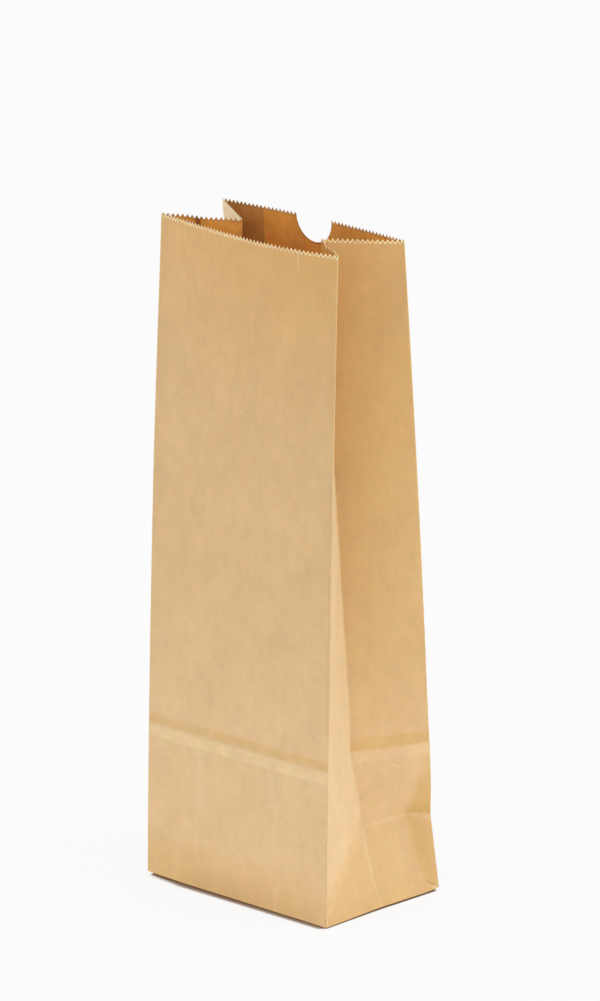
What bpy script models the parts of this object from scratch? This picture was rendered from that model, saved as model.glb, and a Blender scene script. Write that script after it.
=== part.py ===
# Brown paper lunch bag: a block-bottom bag folded and glued from one kraft sheet, standing open.
# Metres, +Z up. The origin is at the middle of the bottom, the front panel faces -Y and the back
# panel +Y. A place on the sheet is (s, h): s runs along a panel, h up the paper from the bottom edge.

import math

import bmesh
import bpy
from mathutils import Vector

# Sheet and overall sizes
PAPER = 0.0002  # one ply, with the little air that folded plies hold
WIDTH = 0.120  # front and back panel, fold to fold
DEPTH = 0.080  # gusset, fold to fold, laid flat
HEIGHT = 0.330  # along the paper, bottom edge to the roots of the rim's teeth

# Stance: how the empty bag has closed up towards its mouth
FRONT_LEAN = 0.0093  # inward shift of the front panel at the rim
BACK_LEAN = 0.0261  # inward shift of the back panel at the rim
BACK_CREASE_IN = 0.0066  # inward shift of the back panel at the crease across it
LEAN_CURVE = 1.28  # 1 is a straight lean, more leaves the panels upright lower down
RIM_PINCH = 0.0010  # each front corner's shift to the middle at the rim
PINCH_START = 0.200  # height at which that shift begins
FRONT_BOW = 0.0070  # outward bow of the front rim
FRONT_BOW_PLACE = 0.65  # where along the front rim the bow is deepest, from the left
BACK_BOW = 0.0040  # outward bow of the back rim
BOW_START = 0.140  # height at which the bows begin

# Gussets: two halves that meet in a fold tucked between the panels
FOLD_POINT_IN = 0.0120  # where the bottom's creases meet, measured in from the side
FOLD_POINT_FORWARD = 0.0020  # the same point, towards the front panel
FOLD_POINT_HEIGHT = 0.0385  # the same point, above the table
FOLD_SETTLE = 0.030  # length over which the fold above that point finds its own depth
BOTTOM_SIDE_IN = 0.0011  # inward bow of the bottom's short sides
GUSSET_WAVE = 0.0016  # S-shaped wave of a front half at the rim
GUSSET_BELLY = 0.0012  # bulge of a back half at mid height

# Crease band left round the bag by the bottom when it lay folded flat
BAND_HEIGHT = 0.080  # the crease that the bottom's far edge left
BAND_RELIEF = 0.0005  # depth of the crease, and rise of the ridge below it
BAND_RIDGE = 0.005  # from the crease down to the ridge
BAND_FADE = 0.010  # from the crease down to where the ridge ends
BAND_RISE = 0.003  # from the crease up to where it ends

# Rim: saw-cut teeth, and a thumb notch in the back panel
TOOTH_PITCH = 0.0025
TOOTH_HEIGHT = 0.0016
NOTCH_RADIUS = 0.0117

# Lap seam inside the back panel, at its left fold
LAP_WIDTH = 0.025
LAP_START = 0.0015  # the lap's second ply begins this far from the fold
PLY_STEP = 0.0003  # width of the step at a ply's edge

# Bottom: side flaps inside, then the front flap, then the back flap lapped and pasted over it
FLAP_OVERLAP = 0.008  # how far each flap reaches past the bottom's middle line
PLY_SETBACK = 0.0010  # a folded ply starts this far inside the bottom's edge
FOLD_STEP = 0.0003  # a covered ply's fold lies this far behind the one that covers it

# Mesh spacing
PANEL_STEP = 0.010  # columns of the front and back panels, and rows just above the crease
GUSSET_STEP = 0.005  # columns of the gussets, and rows up to the crease
WALL_STEP = 0.0165  # rows above the crease band
STOP_CLEARANCE = 0.0015  # least distance of a plain column from one that carries a ply's step
NOTCH_SIDES = 48
NEAR = 0.000001  # two lengths that differ by less are the same

BAG_NAME = "paper_bag"
KRAFT_COLOUR = (0.60, 0.42, 0.235, 1.0)
KRAFT_ROUGHNESS = 0.85


def clear_scene():
    for item in list(bpy.data.objects):
        bpy.data.objects.remove(item, do_unlink=True)


def new_collection(name):
    collection = bpy.data.collections.new(name)
    bpy.context.scene.collection.children.link(collection)
    return collection


def kraft_paper():
    material = bpy.data.materials.new("kraft_paper")
    material.use_nodes = True
    shader = material.node_tree.nodes["Principled BSDF"]
    shader.inputs["Base Color"].default_value = KRAFT_COLOUR
    shader.inputs["Roughness"].default_value = KRAFT_ROUGHNESS
    shader.inputs["Metallic"].default_value = 0.0
    return material


def smooth_step(low, high, value):
    t = min(max((value - low) / (high - low), 0.0), 1.0)
    return t * t * (3.0 - 2.0 * t)


def leaned(h, lean):
    """Height above the table of a place h up a panel that leans in by lean at the rim."""
    return h * math.sqrt(1.0 - (lean / HEIGHT) ** 2)


def front_edge(h):
    """Right front fold: from the bottom corner, leaning back and in towards the rim."""
    x = WIDTH / 2 - RIM_PINCH * smooth_step(PINCH_START, HEIGHT, h)
    y = -DEPTH / 2 + FRONT_LEAN * (h / HEIGHT) ** LEAN_CURVE
    return Vector((x, y, leaned(h, FRONT_LEAN)))


def back_edge(h):
    """Right back fold: in to the crease across the back panel, then leaning to the rim."""
    crease = DEPTH / 2
    y = DEPTH / 2 - BACK_CREASE_IN * min(h / crease, 1.0)
    above = max((h - crease) / (HEIGHT - crease), 0.0)
    y -= (BACK_LEAN - BACK_CREASE_IN) * above ** LEAN_CURVE
    return Vector((WIDTH / 2, y, leaned(h, BACK_LEAN)))


def fold_point():
    """Where the gusset's fold and the bottom's creases meet, on the right side."""
    return Vector((WIDTH / 2 - FOLD_POINT_IN, -FOLD_POINT_FORWARD, FOLD_POINT_HEIGHT))


def free_fold(h):
    """The gusset's fold where both halves keep their width: the tip of an isosceles triangle."""
    front = front_edge(h)
    back = back_edge(h)
    middle = (front + back) / 2
    half_gap = (back.y - front.y) / 2
    half = DEPTH / 2
    middle.x -= math.sqrt(max(half * half - half_gap * half_gap, 0.0))
    return middle


def gusset_fold(h):
    """The gusset's fold: from the fold point it settles into the free fold above, and climbs so
    that the paper along it keeps its length."""
    start = DEPTH / 2
    pull = math.exp(-max(h - start, 0.0) / FOLD_SETTLE)
    point = free_fold(h) + (fold_point() - free_fold(start)) * pull
    shift = (free_fold(HEIGHT) - fold_point()).to_2d().length
    slope = math.sqrt(1.0 - (shift / (HEIGHT - start)) ** 2)
    point.z = fold_point().z + (h - start) * slope
    return point


def band_rows():
    return (BAND_HEIGHT - BAND_FADE, BAND_HEIGHT - BAND_RIDGE, BAND_HEIGHT, BAND_HEIGHT + BAND_RISE)


def band_relief(h, share):
    """Relief of the crease band: a ridge, then a crease, as straight runs between its rows. It
    dies out at a panel's folds, where share is 0 or 1."""
    rows = band_rows()
    reliefs = (0.0, BAND_RELIEF, -BAND_RELIEF, 0.0)
    across = math.sqrt(max(math.sin(math.pi * share), 0.0))
    for low, high, low_value, high_value in zip(rows, rows[1:], reliefs, reliefs[1:]):
        if low <= h <= high:
            return across * (low_value + (high_value - low_value) * (h - low) / (high - low))
    return 0.0


def bow_shape(share, place):
    """0 at both ends and 1 at place, as two quarter waves."""
    if share < place:
        return math.sin(math.pi / 2 * share / place)
    return math.cos(math.pi / 2 * (share - place) / (1.0 - place))


def front_panel(s, h):
    """Front panel, s from its left fold: a straight run between the folds, bowed at the rim."""
    right = front_edge(h)
    left = Vector((-right.x, right.y, right.z))
    share = s / WIDTH
    point = left.lerp(right, share)
    bow = FRONT_BOW * smooth_step(BOW_START, HEIGHT, h) * bow_shape(share, FRONT_BOW_PLACE)
    return point + Vector((0.0, -bow - band_relief(h, share), 0.0))


def back_panel(s, h):
    """Back panel, s from its right fold, seen from outside."""
    right = back_edge(h)
    left = Vector((-right.x, right.y, right.z))
    share = s / WIDTH
    point = right.lerp(left, share)
    bow = BACK_BOW * smooth_step(BOW_START, HEIGHT, h) * bow_shape(share, 0.5)
    return point + Vector((0.0, bow + band_relief(h, share), 0.0))


def gusset_low(s, h):
    """Gusset up to the fold point: three creases fan out from that point to the bottom."""
    tip = fold_point()
    crease = DEPTH / 2
    rise = h / crease
    side_middle = Vector((WIDTH / 2 - BOTTOM_SIDE_IN, 0.0, 0.0))
    if s <= h:
        diagonal = front_edge(0.0).lerp(tip, rise)
        return front_edge(h).lerp(diagonal, s / h if h > 0.0 else 0.0)
    if s >= DEPTH - h:
        diagonal = back_edge(0.0).lerp(tip, rise)
        return back_edge(h).lerp(diagonal, (DEPTH - s) / h if h > 0.0 else 0.0)
    centre = side_middle.lerp(tip, rise)
    reach = crease - h
    if s <= crease:
        return front_edge(0.0).lerp(tip, rise).lerp(centre, (s - h) / reach)
    return back_edge(0.0).lerp(tip, rise).lerp(centre, (DEPTH - h - s) / reach)


def gusset_high(s, h):
    """Gusset above the fold point: a front half with a wave, and a back half with a belly."""
    half = DEPTH / 2
    if s <= half:
        edge = front_edge(h)
        share = s / half
        height = smooth_step(half, HEIGHT, h)
        swell = GUSSET_WAVE * math.sin(2 * math.pi * share) * height
    else:
        edge = back_edge(h)
        share = (DEPTH - s) / half
        height = max(math.sin(math.pi * (h - half) / (HEIGHT - half)), 0.0)
        swell = GUSSET_BELLY * math.sin(math.pi * share) * height
    fold = gusset_fold(h)
    run = fold - edge
    outward = Vector((abs(run.y), run.x if s > half else -run.x, 0.0)).normalized()
    return edge.lerp(fold, share) + outward * (swell + band_relief(h, share))


def right_gusset(s, h):
    """Right gusset, s from its front fold."""
    return gusset_low(s, h) if h < DEPTH / 2 else gusset_high(s, h)


def left_gusset(s, h):
    """Left gusset, s from its back fold: the right one mirrored."""
    point = right_gusset(DEPTH - s, h)
    return Vector((-point.x, point.y, point.z))


def even_stops(length, step):
    count = max(2, round(length / step))
    return [length * i / count for i in range(count + 1)]


def gusset_stops():
    """Columns across a gusset: the same number in each half, so one lies on the fold."""
    half = DEPTH / 2
    stops = even_stops(half, GUSSET_STEP)
    return stops + [half + stop for stop in stops[1:]]


def back_stops():
    """Columns across the back panel, with those that carry the lap's steps."""
    lap = [WIDTH - LAP_WIDTH - PLY_STEP, WIDTH - LAP_WIDTH, WIDTH - LAP_START, WIDTH - LAP_START + PLY_STEP]
    even = even_stops(WIDTH, PANEL_STEP)
    plain = [stop for stop in even if all(abs(stop - s) > STOP_CLEARANCE for s in lap)]
    return sorted(set(plain + lap + [WIDTH]))


def row_stops():
    """Rows up the walls: as close as the gusset's columns up to the crease, so that the creases
    run along the cells' diagonals, then on the band, and wider above."""
    half = DEPTH / 2
    band = band_rows()
    wall_top = HEIGHT - WALL_STEP / 2
    rows = even_stops(half, GUSSET_STEP)
    rows += [half + stop for stop in even_stops(band[0] - half, PANEL_STEP)[1:]]
    rows += list(band[1:])
    rows += [band[-1] + stop for stop in even_stops(wall_top - band[-1], WALL_STEP)[1:]]
    return rows


def on_lap(face, s, h):
    """Whether the sheet has two plies there: by the back panel's left fold, above the bottom."""
    return face == 2 and h > 0.0 and WIDTH - LAP_WIDTH - NEAR <= s <= WIDTH - LAP_START + NEAR


def sheet_mesh():
    """The sheet's outer surface: a ring of columns per row, the bottom, and the toothed rim.
    Also gives the index of each vertex on the lap."""
    faces = (front_panel, right_gusset, back_panel, left_gusset)
    lengths = (WIDTH, DEPTH, WIDTH, DEPTH)
    stops = (even_stops(WIDTH, PANEL_STEP), gusset_stops(), back_stops(), gusset_stops())
    # Each face leaves its last column to the face that follows
    columns = [(face, s) for face in range(4) for s in stops[face][:-1]]
    rows = row_stops()
    bm = bmesh.new()
    lap = []

    def add(face, s, h):
        vert = bm.verts.new(faces[face](s, h))
        if on_lap(face, s, h):
            lap.append(vert)
        return vert

    grid = [[add(face, s, h) for face, s in columns] for h in rows]
    count = len(columns)
    crease = DEPTH / 2
    for row in range(len(rows) - 1):
        for column in range(count):
            after = (column + 1) % count
            low_left, low_right = grid[row][column], grid[row][after]
            high_left, high_right = grid[row + 1][column], grid[row + 1][after]
            face, s = columns[column]
            on_gusset = face in (1, 3) and rows[row + 1] < crease + NEAR
            if on_gusset and s < crease - NEAR:
                bm.faces.new((low_left, low_right, high_right))
                bm.faces.new((low_left, high_right, high_left))
            elif on_gusset:
                bm.faces.new((low_left, low_right, high_left))
                bm.faces.new((low_right, high_right, high_left))
            else:
                bm.faces.new((low_left, low_right, high_right, high_left))
    bm.faces.new(list(reversed(grid[0])))
    add_rim(bm, add, grid[-1], columns, lengths)
    bm.verts.index_update()
    lap_indices = [vert.index for vert in lap]
    mesh = bpy.data.meshes.new(BAG_NAME)
    bm.to_mesh(mesh)
    bm.free()
    return mesh, lap_indices


def add_rim(bm, add, top_ring, columns, lengths):
    """Join the top ring to the roots of the teeth, and stand a tooth between each two roots."""
    roots = []
    tips = []
    for face, length in enumerate(lengths):
        count = max(4, 4 * round(length / TOOTH_PITCH / 4))
        pitch = length / count
        for i in range(count):
            roots.append((face, i * pitch, add(face, i * pitch, HEIGHT)))
            tips.append(add(face, (i + 0.5) * pitch, HEIGHT + TOOTH_HEIGHT))
    starts = [sum(lengths[:face]) for face in range(4)]
    around = sum(lengths)
    low = [(starts[face] + s, vert) for (face, s), vert in zip(columns, top_ring)]
    low.append((around, top_ring[0]))
    high = [(starts[face] + s, vert) for face, s, vert in roots]
    high.append((around, roots[0][2]))
    # Walk both rings together, each triangle taking the next place on the ring that is behind
    i = 0
    j = 0
    while i < len(low) - 1 or j < len(high) - 1:
        next_low = low[i + 1][0] if i < len(low) - 1 else 2 * around
        next_high = high[j + 1][0] if j < len(high) - 1 else 2 * around
        if next_low <= next_high:
            bm.faces.new((low[i][1], low[i + 1][1], high[j][1]))
            i += 1
        else:
            bm.faces.new((low[i][1], high[j + 1][1], high[j][1]))
            j += 1
    for k, tip in enumerate(tips):
        bm.faces.new((high[k][1], high[k + 1][1], tip))


def plate(name, outline, low, high, collection):
    """A flat prism on an outline of (x, y) points, counter-clockwise seen from above."""
    bm = bmesh.new()
    base = [bm.verts.new((x, y, low)) for x, y in outline]
    bm.faces.new(list(reversed(base)))
    top = bmesh.ops.extrude_face_region(bm, geom=list(bm.faces), use_keep_orig=True)["geom"]
    lifted = [item for item in top if isinstance(item, bmesh.types.BMVert)]
    bmesh.ops.translate(bm, verts=lifted, vec=(0.0, 0.0, high - low))
    bmesh.ops.recalc_face_normals(bm, faces=list(bm.faces))
    mesh = bpy.data.meshes.new(name)
    bm.to_mesh(mesh)
    bm.free()
    tool = bpy.data.objects.new(name, mesh)
    collection.objects.link(tool)
    tool.hide_render = True
    tool.display_type = "WIRE"
    return tool


def toothed_run(start, end, out):
    """Points along a saw-cut edge from start to end, its teeth pointing out."""
    start, end, out = Vector(start), Vector(end), Vector(out)
    count = max(2, round((end - start).length / TOOTH_PITCH))
    points = []
    for i in range(count):
        points.append(start.lerp(end, i / count))
        points.append(start.lerp(end, (i + 0.5) / count) + out * TOOTH_HEIGHT)
    points.append(end)
    return [(point.x, point.y) for point in points]


def flap_length():
    return DEPTH / 2 + FLAP_OVERLAP


def side_flap(side, tools):
    """One gusset's flap, the innermost ply: it lies on the bottom with its cut edge inward."""
    outer = WIDTH / 2 - 3 * PLY_SETBACK
    inner = WIDTH / 2 - flap_length()
    across = DEPTH / 2 - 3 * PLY_SETBACK
    edge = toothed_run((inner, across), (inner, -across), (-1.0, 0.0))
    outline = edge + [(outer, -across), (outer, across)]
    if side < 0:
        outline = [(-x, y) for x, y in reversed(outline)]
    return plate(f"side_flap_{'right' if side > 0 else 'left'}", outline, 2.5 * PAPER, 4 * PAPER, tools)


def bottom_stack(tools):
    """The plies under the side flaps, standing clear of the walls' folds."""
    x = WIDTH / 2 - 2 * PLY_SETBACK
    y = DEPTH / 2 - 2 * PLY_SETBACK
    return plate("bottom_stack", [(-x, -y), (x, -y), (x, y), (-x, y)], 0.5 * PAPER, 3 * PAPER, tools)


def front_flap_cut(tools):
    """Room under the front flap: the bottom seen from below, outside the back flap, which covers
    it with a toothed edge and two sides folded at 45 degrees. One ply deep."""
    x = WIDTH / 2 - 2 * PLY_SETBACK - FOLD_STEP
    y = DEPTH / 2 - 2 * PLY_SETBACK - FOLD_STEP
    half_tip = WIDTH / 2 - flap_length()
    edge = toothed_run((half_tip, -FLAP_OVERLAP), (-half_tip, -FLAP_OVERLAP), (0.0, -1.0))
    outline = [(-x, -y), (x, -y), (x, y)] + edge + [(-x, y)]
    return plate("front_flap_cut", outline, -PAPER, PAPER, tools)


def side_flap_cut(side, tools):
    """Room under a side flap: the triangle that shows between the two folded flaps. Two deep."""
    x = WIDTH / 2 - 2 * PLY_SETBACK - 2 * FOLD_STEP
    apex = WIDTH / 2 - DEPTH / 2 + 2 * FOLD_STEP
    y = x - apex
    outline = [(apex, 0.0), (x, -y), (x, y)]
    if side < 0:
        outline = [(-px, py) for px, py in reversed(outline)]
    return plate(f"side_flap_cut_{'right' if side > 0 else 'left'}", outline, -PAPER, 2 * PAPER, tools)


def notch_cut(tools):
    """Thumb notch in the back panel's rim: a round cutter that passes through that panel alone."""
    middle = back_panel(WIDTH / 2, HEIGHT)
    reach = DEPTH / 5
    bpy.ops.mesh.primitive_cylinder_add(
        vertices=NOTCH_SIDES,
        radius=NOTCH_RADIUS,
        depth=2 * reach,
        location=(0.0, middle.y, middle.z),
        rotation=(math.pi / 2, 0.0, 0.0),
    )
    cutter = bpy.context.object
    cutter.name = "notch_cut"
    for owner in list(cutter.users_collection):
        owner.objects.unlink(cutter)
    tools.objects.link(cutter)
    cutter.hide_render = True
    cutter.display_type = "WIRE"
    return cutter


def add_boolean(bag, tool, operation):
    modifier = bag.modifiers.new(tool.name, "BOOLEAN")
    modifier.operation = operation
    modifier.solver = "EXACT"
    modifier.object = tool


def build_bag():
    parts = new_collection("brown_paper_lunch_bag")
    tools = new_collection("cutters")
    mesh, lap_indices = sheet_mesh()
    bag = bpy.data.objects.new(BAG_NAME, mesh)
    parts.objects.link(bag)
    bag.data.materials.append(kraft_paper())
    lap = bag.vertex_groups.new(name="lap")
    lap.add(lap_indices, 1.0, "REPLACE")
    wall = bag.modifiers.new("paper", "SOLIDIFY")
    wall.thickness = 2 * PAPER
    wall.offset = -1.0
    wall.use_even_offset = True
    wall.vertex_group = lap.name
    wall.thickness_vertex_group = 0.5
    for tool in (bottom_stack(tools), side_flap(1, tools), side_flap(-1, tools)):
        add_boolean(bag, tool, "UNION")
    cuts = [front_flap_cut(tools), side_flap_cut(1, tools), side_flap_cut(-1, tools), notch_cut(tools)]
    for tool in cuts:
        add_boolean(bag, tool, "DIFFERENCE")
    return bag


clear_scene()
build_bag()
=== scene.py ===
import math

import bpy
import numpy as np
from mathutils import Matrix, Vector


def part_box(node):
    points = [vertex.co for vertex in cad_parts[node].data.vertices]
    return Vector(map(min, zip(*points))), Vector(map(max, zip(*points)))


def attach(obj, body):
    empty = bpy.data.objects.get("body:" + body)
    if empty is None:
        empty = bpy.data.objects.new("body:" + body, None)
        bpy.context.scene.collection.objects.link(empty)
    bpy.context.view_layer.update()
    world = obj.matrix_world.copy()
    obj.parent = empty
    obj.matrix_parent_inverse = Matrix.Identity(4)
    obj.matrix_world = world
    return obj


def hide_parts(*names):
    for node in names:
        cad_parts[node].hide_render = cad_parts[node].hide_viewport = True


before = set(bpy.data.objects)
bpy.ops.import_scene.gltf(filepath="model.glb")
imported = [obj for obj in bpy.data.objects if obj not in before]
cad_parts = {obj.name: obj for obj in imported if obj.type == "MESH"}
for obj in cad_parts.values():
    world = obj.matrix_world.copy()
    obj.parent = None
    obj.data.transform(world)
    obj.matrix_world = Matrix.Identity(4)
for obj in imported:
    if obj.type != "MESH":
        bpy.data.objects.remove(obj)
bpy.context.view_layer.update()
print("frame loaded")

# A place on the sheet is (s, h): s runs round the bag from the front panel's left fold, over the
# front, the right gusset, the back and the left gusset, and h up the paper from the bottom fold.
# Below the bottom fold h is negative, along the flaps that are folded in under the bag.

nodeLow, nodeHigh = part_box("paper_bag")

sheet = {
    "width": nodeHigh.x - nodeLow.x,  # front and back panel, fold to fold
    "depth": nodeHigh.y - nodeLow.y,  # gusset laid flat, fold to fold
    "height": 0.3294,  # bottom fold to the roots of the rim's teeth
    "ply": 0.00016,  # thickness of the paper
    "toothPitch": 0.4 / 168,  # the sheet is 0.4 m round
    "toothHeight": 0.0017,
    "notchRadius": 0.0115,  # thumb notch in the back panel's rim
    "notchDepth": 0.0122,
    "notchShift": 0.0028,  # its middle from the panel's, towards the left
    "lapWidth": 0.025,  # pasted seam inside the back panel
    "lapStart": 0.0015,  # the seam's outer edge, from the left back fold
    "flap": 0.048,  # length of each bottom flap
    "foldRadius": 0.00040,  # half the width over which a fold is rounded
}

stance = {
    "frontLeanRight": 0.0080,  # inward shift of the front panel's right fold at the rim
    "frontCurveRight": 1.30,
    "frontLeanLeft": 0.0105,
    "frontCurveLeft": 1.45,
    "backLean": 0.0261,  # inward shift of the back folds at the rim
    "backCurve": 1.28,
    "creaseIn": 0.0062,  # inward shift of the back folds at the crease, a gusset's half width up
    "creaseBelly": 0.0007,  # the back folds stand out this much again above the crease
    "bellyPlace": (0.065, 0.022),  # height and reach of that
    "bellyStart": 0.010,  # it comes in over this length, from the crease up
    "rimPinchLeft": 0.0010,  # inward shift of a front fold along the front at the rim
    "rimPinchRight": 0.0001,
    "pinchStart": 0.6,  # share of the height where that starts
    "frontBow": 0.0070,  # outward bow of the front rim
    "frontBowPlace": 0.65,
    "backBow": 0.0040,
    "bowStart": 0.140,
    "pointIn": 0.0120,  # where a gusset's creases meet, measured in from the side
    "pointForward": 0.0020,
    "pointHeight": 0.0392,
    "settle": 0.030,  # length over which a gusset's fold finds its own depth
    "sideIn": 0.0011,  # inward bow of the bottom's short sides
    "rippleOut": 0.0005,  # ripple of a gusset's front half at the rim, outward and then inward,
    "rippleOutPlace": (0.27, 0.13),  # with place and reach as shares of the half's width
    "rippleIn": 0.0013,
    "rippleInPlace": (0.56, 0.14),
    "rippleStart": 0.55,  # share of the height where it starts
    "gussetBelly": 0.0012,
    "nudge": (-0.00135, -0.00145, 0.0),  # the right gusset's fold gives way beside the crease band
    "nudgeHeight": 0.074,
    "nudgeReach": 0.020,
}

width, depth, height = sheet["width"], sheet["depth"], sheet["height"]
halfWidth, halfDepth = width / 2, depth / 2
aroundSheet = 2 * (width + depth)
backStart = width + depth
leftStart = backStart + width
seamEdge = leftStart - sheet["lapStart"]
lapEnd = leftStart - sheet["lapWidth"]
foldPlaces = np.array([0.0, width, width + halfDepth, backStart, leftStart, aroundSheet - halfDepth])


def smoothStep(low, high, value):  # 3t^2 - 2t^3, where t runs from 0 at low to 1 at high
    t = np.clip((value - low) / (high - low), 0.0, 1.0)
    return t * t * (3.0 - 2.0 * t)


def bell(place, reach, value):  # a bell of height 1: e^-((value - place) / reach)^2
    return np.exp(-(((value - place) / reach) ** 2))


def between(start, end, share):  # start + (end - start) * share, for points
    return start + (end - start) * share[..., None]


def leaned(h, lean):  # height above the table of a panel that leans in by lean at the rim
    return h * math.sqrt(1.0 - (lean / height) ** 2)


# A front fold on the +X side: y = -D/2 + lean (h/H)^curve, x pinched a little towards the rim
def frontFold(h, side):
    name = "Right" if side > 0 else "Left"
    lean, curve = stance["frontLean" + name], stance["frontCurve" + name]
    share = np.maximum(h, 0.0) / height
    x = halfWidth - stance["rimPinch" + name] * smoothStep(stance["pinchStart"], 1.0, share)
    y = -halfDepth + lean * share ** curve
    return np.stack([x, y, leaned(h, lean)], -1)


# A back fold on the +X side: in by creaseIn at the crease, then leaning to the rim by a power
def backFold(h):
    low = np.clip(h / halfDepth, 0.0, 1.0)
    high = np.maximum(h - halfDepth, 0.0) / (height - halfDepth)
    y = halfDepth - stance["creaseIn"] * low
    y = y - (stance["backLean"] - stance["creaseIn"]) * high ** stance["backCurve"]
    belly = bell(*stance["bellyPlace"], h) * smoothStep(halfDepth, halfDepth + stance["bellyStart"], h)
    y = y + stance["creaseBelly"] * belly
    return np.stack([np.full_like(h, halfWidth), y, leaned(h, stance["backLean"])], -1)


def creasePoint():  # where the creases of the right gusset meet
    return np.array([halfWidth - stance["pointIn"], -stance["pointForward"], stance["pointHeight"]])


# The gusset's fold where both halves keep their width: the tip of an isosceles triangle
def freeFold(h, side):
    front, back = frontFold(h, side), backFold(h)
    middle = (front + back) / 2
    halfGap = (back[..., 1] - front[..., 1]) / 2
    middle[..., 0] -= np.sqrt(np.maximum(halfDepth ** 2 - halfGap ** 2, 0.0))
    return middle


# The gusset's fold: from the crease point it settles into the free fold as e^-(rise / settle)
def gussetFold(h, side):
    start = np.array(halfDepth)
    top = np.array(height)
    point = freeFold(h, side)
    pull = np.exp(-np.maximum(h - halfDepth, 0.0) / stance["settle"])
    point = point + (creasePoint() - freeFold(start, side)) * pull[..., None]
    shift = np.linalg.norm((freeFold(top, side) - creasePoint())[:2])
    slope = math.sqrt(1.0 - (shift / (height - halfDepth)) ** 2)
    point[..., 2] = stance["pointHeight"] + (h - halfDepth) * slope
    if side > 0:
        share = bell(stance["nudgeHeight"], stance["nudgeReach"], h)
        share = share * smoothStep(halfDepth, halfDepth + stance["nudgeReach"], h)
        point = point + np.array(stance["nudge"]) * share[..., None]
    return point


def bowShape(share, place):  # two quarter waves: 0 at both ends and 1 at place
    rise = np.sin(math.pi / 2 * share / place)
    fall = np.cos(math.pi / 2 * (share - place) / (1.0 - place))
    return np.where(share < place, rise, fall)


# Front panel: straight from fold to fold, then bowed out towards the rim
def frontPanel(share, h):
    left = frontFold(h, -1) * np.array([-1.0, 1.0, 1.0])
    point = between(left, frontFold(h, 1), share)
    bow = stance["frontBow"] * smoothStep(stance["bowStart"], height, h)
    point[..., 1] -= bow * bowShape(share, stance["frontBowPlace"])
    return point


# Back panel: the same between the back folds
def backPanel(share, h):
    right = backFold(h)
    point = between(right, right * np.array([-1.0, 1.0, 1.0]), share)
    bow = stance["backBow"] * smoothStep(stance["bowStart"], height, h)
    point[..., 1] += bow * bowShape(share, 0.5)
    return point


# The right gusset is dented by its back fold: its crease has a knee there, and a kink runs from
# the knee down to the corner of the bottom
dent = {
    "knee": 0.065,  # place of the knee from the front fold
    "shift": np.array([-0.0008, 0.0008, 0.0024]),  # the knee's, from the straight crease
    "kinkHeights": (0.0, 0.0060, 0.0280, 0.0400),
    "kinkPlaces": (0.080, 0.0705, 0.0655, 0.065),
    "kinkPoints": ((0.0593, 0.0302, 0.0060), (0.0565, 0.0232, 0.0290)),
    "top": (0.080, 0.072),  # the dent's other corners above the crease, as (t, h)
    "inner": (0.050, 0.060),
}


def kneePoint():
    share = (dent["knee"] - halfDepth) / halfDepth
    start, end = creasePoint(), backFold(np.array(halfDepth))
    return start + (end - start) * share + dent["shift"]


def kinkPoint(h):  # the kink, from point to point
    corners = np.array([backFold(np.array(0.0)), *dent["kinkPoints"], kneePoint()])
    return np.stack([np.interp(h, dent["kinkHeights"], corners[:, k]) for k in range(3)], -1)


# How much of the knee's shift a place above the crease takes: 1 at the knee, falling straight to 0
# at the edges of the region between the dent's corners
def dentShare(t, h):
    knee = np.array([dent["knee"], halfDepth])
    ring = [(depth, halfDepth), dent["top"], dent["inner"], (halfDepth, halfDepth)]
    share = np.zeros_like(t)
    for start, end in zip(ring[:-1], ring[1:]):
        across = np.array([end[1] - start[1], start[0] - end[0]])
        far = across @ (np.array(start) - knee)
        share = np.maximum(share, (across[0] * (t - knee[0]) + across[1] * (h - knee[1])) / far)
    return np.clip(1.0 - share, 0.0, 1.0)


# Gusset below the crease point: creases fan out from the point to both corners and the middle,
# and each of the four triangles between them is ruled from its own crease to the next. On the
# dented side the back half is ruled from the middle crease to the kink, and on to the back fold
def gussetLow(t, h, side):
    tip = creasePoint()
    zero = np.zeros_like(h)
    rise = np.clip(h / halfDepth, 0.0, 1.0)
    tiny = 1e-9
    frontCrease = between(frontFold(zero, side), tip, rise)
    backCrease = between(backFold(zero), tip, rise)
    middle = np.array([halfWidth - stance["sideIn"], 0.0, 0.0])
    centre = between(np.broadcast_to(middle, frontCrease.shape), tip, rise)
    reach = np.maximum(halfDepth - h, tiny)
    corner = np.maximum(h, tiny)
    parts = [
        between(frontFold(h, side), frontCrease, np.clip(t / corner, 0, 1)),
        between(backFold(h), backCrease, np.clip((depth - t) / corner, 0, 1)),
        between(frontCrease, centre, np.clip((t - h) / reach, 0, 1)),
        between(backCrease, centre, np.clip((depth - h - t) / reach, 0, 1)),
    ]
    where = [t <= h, t >= depth - h, t <= halfDepth]
    if side > 0:
        kink = kinkPoint(h)
        place = np.interp(h, dent["kinkHeights"], dent["kinkPlaces"])
        inShare = np.clip((t - halfDepth) / (place - halfDepth), 0, 1)
        outShare = np.clip((t - place) / np.maximum(depth - place, tiny), 0, 1)
        inner, outer = between(centre, kink, inShare), between(kink, backFold(h), outShare)
        parts[3] = np.where((t < place)[..., None], inner, outer)
        parts[1] = parts[3]
    return np.select([w[..., None] for w in where], parts[:3], parts[3])


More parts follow.
